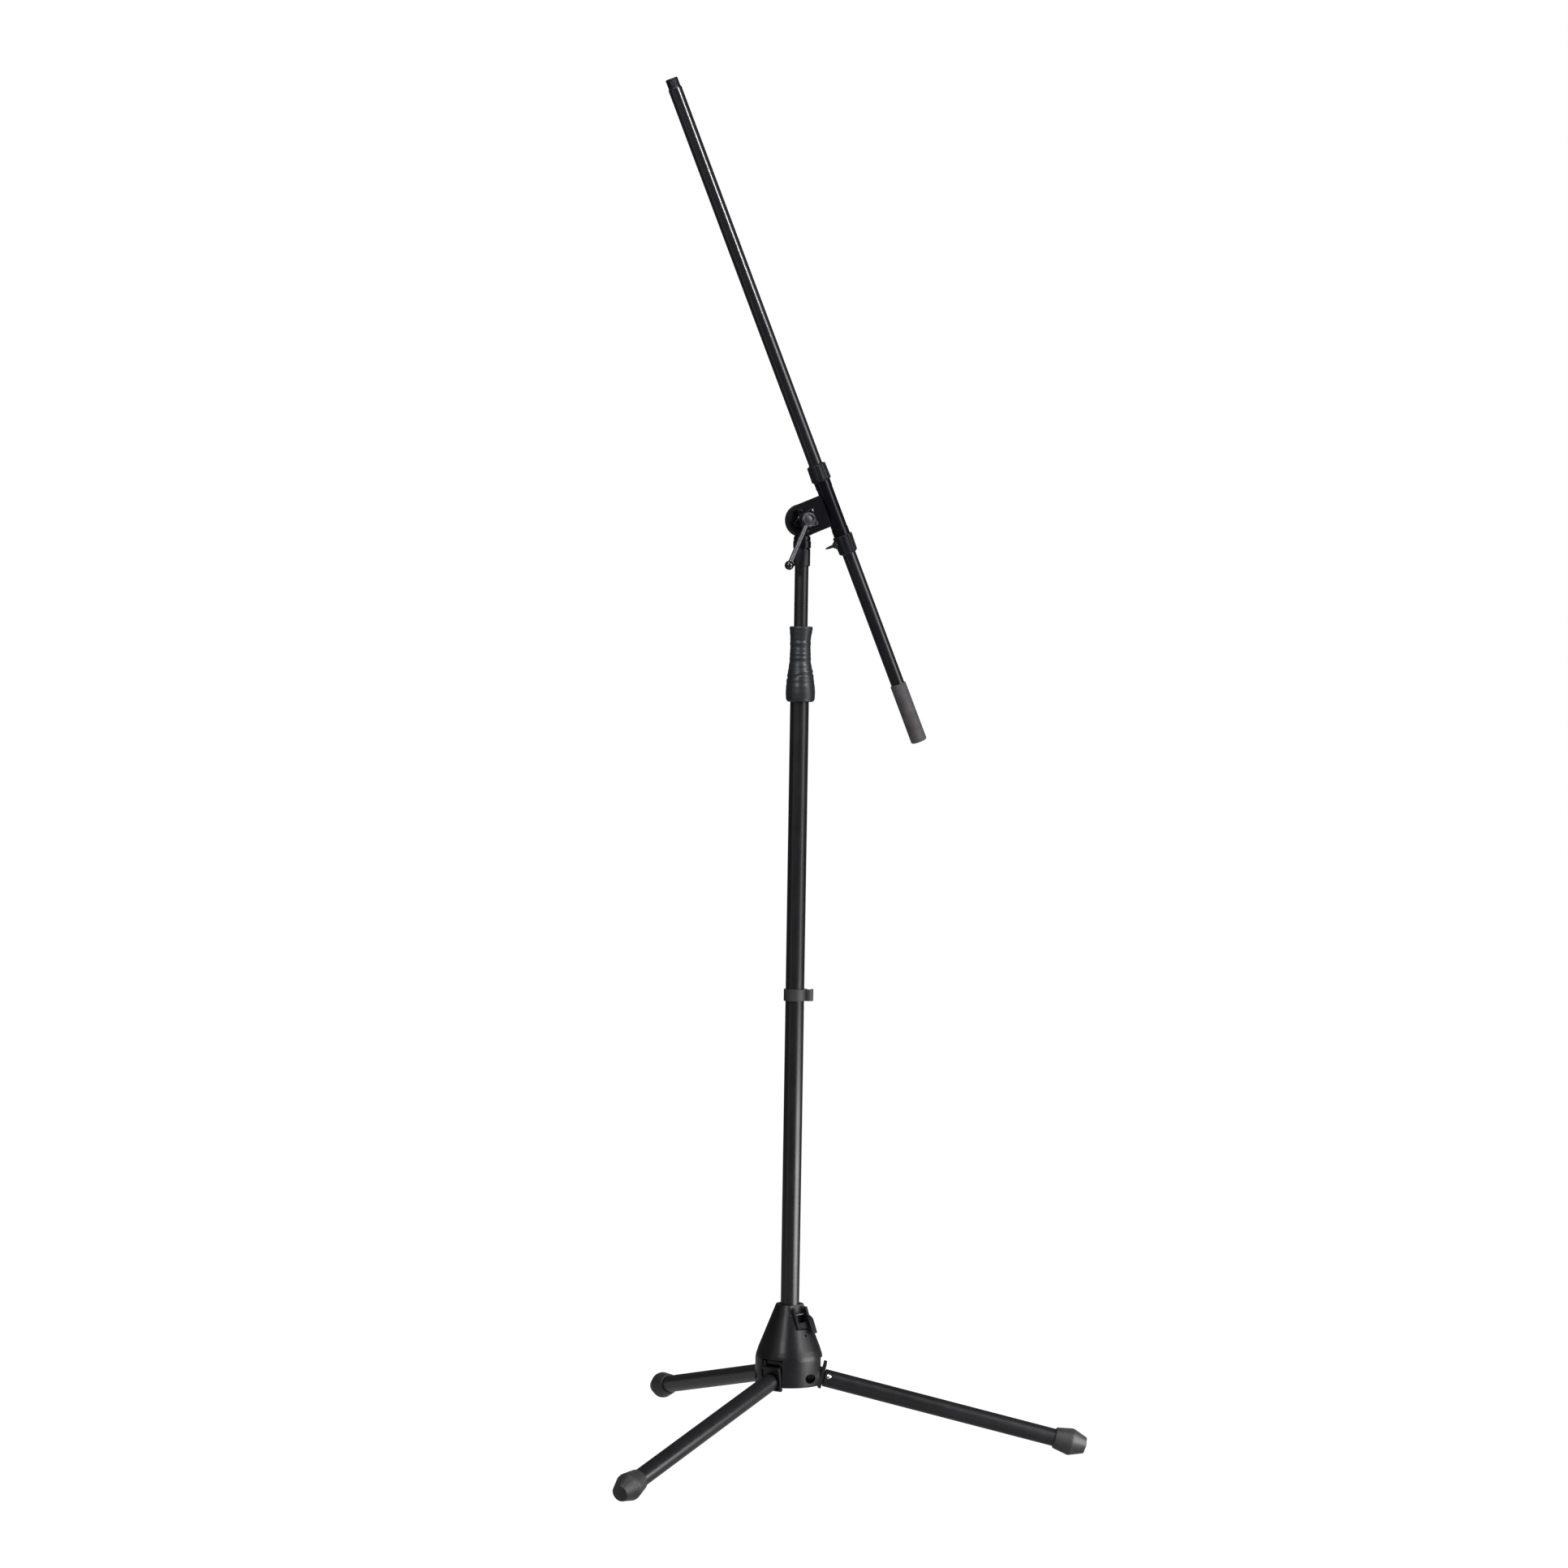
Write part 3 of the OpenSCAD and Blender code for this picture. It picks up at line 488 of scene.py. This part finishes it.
def grip():
    low, high = span_z("clutch_grip")
    stretch = (high - low) / GRIP_RADIUS[-1][0]
    heights = [0, 0.25, 0.7, 1.3, 2.2, 3.4]
    heights += [3.4 + 0.6 * k for k in range(1, 149)]
    heights += [93.0, 93.4, 93.8, 94.0]
    outer = [(table(GRIP_RADIUS, h), low + h * stretch) for h in heights]
    bore = [(8.4, high), (8.4, low + 36), (11.25, low + 34), (11.25, low + 0.2)]

    def shape(angle, r, z):
        if r < 11.5:
            return r, z
        h = (z - low) / stretch
        right = math.cos(angle + VIEW_TURN)
        front = math.cos(angle + VIEW_TURN + math.pi / 2)
        r += table(GRIP_SHIFT, h) * right
        hold = 0.35 + 0.65 * max(0.0, front) ** 0.5
        r += sum(height * hump(h - at, width) for at, height, width in GRIP_RIDGES) * hold
        crease = GRIP_CREASE + CREASE_SLANT * right
        r -= 0.6 * hump(h - crease, 0.9)
        r += 0.35 * hump(h - crease - 3.0, 2.4) + 0.3 * hump(h - crease + 3.2, 2.6)
        return r, z

    piece(lathe("grip", outer + bore, MAST, shape, 128), ["clutch_grip"])


grip()

# ---------------------------------------------------------------- collars of the boom sleeve

RIBS = 10
RIB_DEPTH = 1.0
RIB_TURN = math.radians(9)


def ribbed(name, node, profile):
    top = max(r for r, _ in profile)

    def shape(angle, r, z):
        if r < top - 1.9:
            return r, z
        wave = 0.5 + 0.5 * math.cos(RIBS * (angle - RIB_TURN))
        return r - RIB_DEPTH * (1 - wave) ** 2.2 * min(1.0, (r - top + 1.9) / 1.2), z

    piece(lathe(name, profile, BOOM, shape, 200), [node])


def collars():
    low, high = span_z("front_collar", BOOM)
    r = reach_r("front_collar", BOOM)
    neck = reach_r("sleeve_liner", BOOM) + 1.75
    step = low + 11.6
    outline = [(neck, low), (r, low), (r, high), (8.35, high), (8.35, step), (neck, step)]
    outline = fillet(outline, [0.3, 1.3, 1.6, 0.4, 0, 0], 6)
    ribbed("front_collar_ribs", "front_collar", closed_rows(outline, 2.5))
    low, high = span_z("rear_collar", BOOM)
    outline = [(8.95, low), (12.6, low), (12.6, high), (8.95, high)]
    outline = fillet(outline, [0.5, 1.9, 1.0, 0.2], 6)
    ribbed("rear_collar_ribs", "rear_collar", closed_rows(outline, 2.5))


def thumb_boss():
    joint = JOINTS["thumb_screw_turn"]
    along = (BOOM.inverted() @ Vector(joint["pos_m"])).z
    place = axes(BOOM @ Vector((0, 0, along)), joint["axis"], Y_AXIS)
    outline = [(0.0, 11.0), (4.9, 11.0), (4.9, 13.3), (0.0, 13.3)]
    rows = dense(fillet(outline, [0, 0, 0.7, 0], 5, False), 1.0)
    boss = lathe("thumb_boss", rows, place, None, 64)
    piece(boss, [], NODE_SLOT["rear_collar"], NODE_BODY["rear_collar"])


collars()
thumb_boss()

# ---------------------------------------------------------------- feet and counterweight


def foot(i):
    place = leg_axes(i)
    node = f"leg_{i}_foot"
    end = span_z(f"leg_{i}_tube", place)[1]
    mouth, tail = span_z(node, place)
    wide = reach_r(node, place)
    middle = mouth + 22.0
    outline = [(0.0, end), (10.5, end), (10.5, mouth + 0.8), (11.4, mouth), (13.2, mouth),
               (wide - 0.5, middle - 2.4), (wide, middle), (wide - 0.4, middle + 2.2),
               (11.3, tail), (0.0, tail)]
    rounding = [0, 0.2, 0.3, 0.5, 1.0, 2.0, 1.6, 2.0, 2.6, 0]
    skin = lathe(f"foot_{i}", dense(fillet(outline, rounding, 5, False), 3.0), place, None, 96)
    for v in skin.vertices:
        v.co.z = max(v.co.z, 0.0)
    piece(skin, [node])


for leg in LEGS:
    foot(leg)


def counterweight():
    low, high = span_z("counterweight_sleeve", BOOM)
    r = reach_r("counterweight_sleeve", BOOM)
    outline = [(0.0, low + 0.35), (r - 2.6, low + 0.35), (r - 1.8, low), (r, low), (r, high),
               (8.05, high), (8.05, high - 6), (0.0, high - 6)]
    rows = dense(fillet(outline, [0, 0.4, 0.3, 1.3, 1.5, 0.4, 0, 0], 5, False), 8.0)
    piece(lathe("counterweight_skin", rows, BOOM), ["counterweight_sleeve"])


counterweight()

# ---------------------------------------------------------------- tension lever

STAR_LOBES = 5
STAR_FIRST = math.radians(57)


def star():
    near, far = 8.5, 16.0
    outline = [(0.0, near), (10.0, near), (10.6, near + 0.8), (13.6, near + 1.4),
               (13.6, far - 0.2), (11.4, far), (9.2, far - 0.5), (0.0, far - 0.5)]
    rows = dense(fillet(outline, [0, 0.3, 0.3, 1.6, 2.2, 0.8, 0.3, 0], 6, False), 1.2)

    def shape(angle, r, z):
        lobe = (0.5 + 0.5 * math.cos(STAR_LOBES * (angle - STAR_FIRST))) ** 1.6
        share = min(1.0, max(0.0, (r - 9.4) / 3.2))
        return r + share * (3.35 * lobe - 1.9 * (1 - lobe)), z

    piece(lathe("lever_star_skin", rows, FACE, shape, 180), ["lever_star"])


def lever():
    outline = [(0.0, 15.4), (9.3, 15.4), (9.3, 17.2), (8.7, 17.9), (8.7, 18.9), (9.5, 19.6),
               (9.5, 27.6), (6.4, 27.6), (5.8, 27.0), (0.0, 27.0)]
    rounding = [0, 0.2, 0.3, 0.4, 0.4, 0.4, 1.3, 0.4, 0.3, 0]
    piece(lathe("lever_boss", dense(fillet(outline, rounding, 5, False), 3.0), FACE), ["lever_hub"])
    axis = LEVER @ Matrix.Translation((0, -24.5, 0))
    rod = fillet([(0.0, -60.0), (2.35, -60.0), (2.35, -7.0), (0.0, -7.0)], [0, 0.3, 0.3, 0], 3, False)
    piece(lathe("lever_bar", dense(rod, 6.0), axis, None, 48), ["lever_rod"])
    r, centre = 5.75, -62.0
    ball = [(0.0, centre - r)]
    for step in range(6, 150, 4):
        turn = math.radians(step)
        ball.append((r * math.sin(turn), centre - r * math.cos(turn)))
    ball += [(2.75, centre + 5.25), (2.36, centre + 5.1), (0.0, centre + 4.6)]
    piece(lathe("lever_knob", ball, axis, None, 64), ["lever_ball"])


star()
lever()

# ---------------------------------------------------------------- boom head


def swivel():
    low, high = span_z("swivel_collar")
    r = reach_r("swivel_collar")
    outline = [(0.0, low), (r - 0.8, low), (r - 0.8, low + 1.2), (r, low + 1.8),
               (r, high - 1.2), (r - 0.8, high - 0.8), (r - 0.8, high), (0.0, high)]
    rows = dense(fillet(outline, [0, 0.2, 0.3, 0.5, 0.4, 0.2, 0.1, 0], 4, False), 3.0)
    piece(lathe("swivel_ring", rows, MAST), ["swivel_collar"])


swivel()

# ---------------------------------------------------------------- camera and studio

VIEW_PITCH = math.radians(3.03)
VIEW_ROLL = math.radians(0.92)
VIEW_DISTANCE = 4.540
VIEW_HEIGHT = 0.978
SENSOR_MM = 36.0
LENS_MM = 83.378
LENS_SHIFT = (-0.00823, 0.05181)


def make_camera():
    heading = Vector((math.sin(VIEW_TURN), math.cos(VIEW_TURN), 0))
    forward = heading * math.cos(VIEW_PITCH) - Vector((0, 0, math.sin(VIEW_PITCH)))
    right = Vector((math.cos(VIEW_TURN), -math.sin(VIEW_TURN), 0))
    up = right.cross(forward)
    right_r = right * math.cos(VIEW_ROLL) + up * math.sin(VIEW_ROLL)
    up_r = -right * math.sin(VIEW_ROLL) + up * math.cos(VIEW_ROLL)
    data = bpy.data.cameras.new("camera")
    data.sensor_width = SENSOR_MM
    data.lens = LENS_MM
    data.shift_x, data.shift_y = LENS_SHIFT
    data.clip_end = 100
    camera = bpy.data.objects.new("camera", data)
    place = Matrix((right_r, up_r, -forward)).transposed().to_4x4()
    place.translation = -VIEW_DISTANCE * heading + Vector((0, 0, VIEW_HEIGHT))
    camera.matrix_world = place
    bpy.context.scene.collection.objects.link(camera)
    bpy.context.scene.camera = camera


def softbox(name, place, target, size, power):
    data = bpy.data.lights.new(name, "AREA")
    data.shape = "RECTANGLE"
    data.size, data.size_y = size
    data.energy = power
    light = bpy.data.objects.new(name, data)
    light.location = place
    light.rotation_euler = (Vector(target) - Vector(place)).to_track_quat("-Z", "Y").to_euler()
    light.visible_camera = False
    bpy.context.scene.collection.objects.link(light)


def around(azimuth, distance, height):
    """A point seen from the middle of the scene at an angle to the right of the camera."""
    a = math.radians(azimuth) - VIEW_TURN
    return (distance * math.sin(a), -distance * math.cos(a), height)


PALE = (0.07, 0.07, 0.07)
FLOOR_HALF = 30
FLOOR_LEVEL = -0.0005
DOME_RADIUS = 28
ROOM_LIGHT = 0.07


def stage():
    mesh = bmesh.new()
    bmesh.ops.create_grid(mesh, x_segments=8, y_segments=8, size=FLOOR_HALF)
    floor_mesh = bpy.data.meshes.new("floor")
    mesh.to_mesh(floor_mesh)
    mesh.free()
    floor = bpy.data.objects.new("floor", floor_mesh)
    floor.location = (0, 0, FLOOR_LEVEL)
    n = Nodes("floor")
    cloud = n.noise(0.004, 3.0)
    n.put(n.bsdf.inputs["Base Color"], n.blend(cloud, shade(PALE, 0.86), shade(PALE, 1.14)))
    n.bsdf.inputs["Roughness"].default_value = 0.9
    n.bsdf.inputs["Specular IOR Level"].default_value = 0.1
    n.glow()
    floor_mesh.materials.append(n.material)
    floor.visible_diffuse = False
    floor.visible_glossy = False
    bpy.context.scene.collection.objects.link(floor)

    # a white dome that only the camera sees, so the stand's dark edges reflect the dim room
    mesh = bmesh.new()
    bmesh.ops.create_uvsphere(mesh, u_segments=64, v_segments=32, radius=DOME_RADIUS)
    dome_mesh = bpy.data.meshes.new("dome")
    mesh.to_mesh(dome_mesh)
    mesh.free()
    dome = bpy.data.objects.new("dome", dome_mesh)
    white = Nodes("dome")
    white.bsdf.inputs["Base Color"].default_value = BLACK
    white.bsdf.inputs["Specular IOR Level"].default_value = 0.0
    white.glow()
    dome_mesh.materials.append(white.material)
    dome.visible_diffuse = False
    dome.visible_glossy = False
    dome.visible_transmission = False
    dome.visible_shadow = False
    bpy.context.scene.collection.objects.link(dome)

    world = bpy.data.worlds.new("studio")
    world.use_nodes = True
    background = world.node_tree.nodes["Background"]
    background.inputs["Color"].default_value = WHITE
    background.inputs["Strength"].default_value = ROOM_LIGHT
    bpy.context.scene.world = world
    bpy.context.scene.view_settings.view_transform = "Standard"


make_camera()
stage()
softbox("key", around(64, 3.0, 1.0), (0, 0, 0.9), (1.20, 3.0), 33)
softbox("edge", around(-58, 3.0, 1.0), (0, 0, 0.9), (0.50, 3.0), 4)
softbox("fill", around(-28, 3.0, 2.05), (0, 0, 0.7), (0.80, 0.70), 27)
softbox("streak", around(50, 3.0, 2.58), (-0.1, 0, 1.5), (0.26, 1.05), 62)
softbox("top", around(-18, 1.2, 3.1), (0, 0, 0.6), (1.2, 1.0), 26)
softbox("bounce", (0, 0, 0.0005), (0, 0, 1), (2.6, 2.6), 6)
softbox("low", around(68, 0.85, 0.18), (0.22, -0.14, 0.06), (0.80, 0.36), 8)
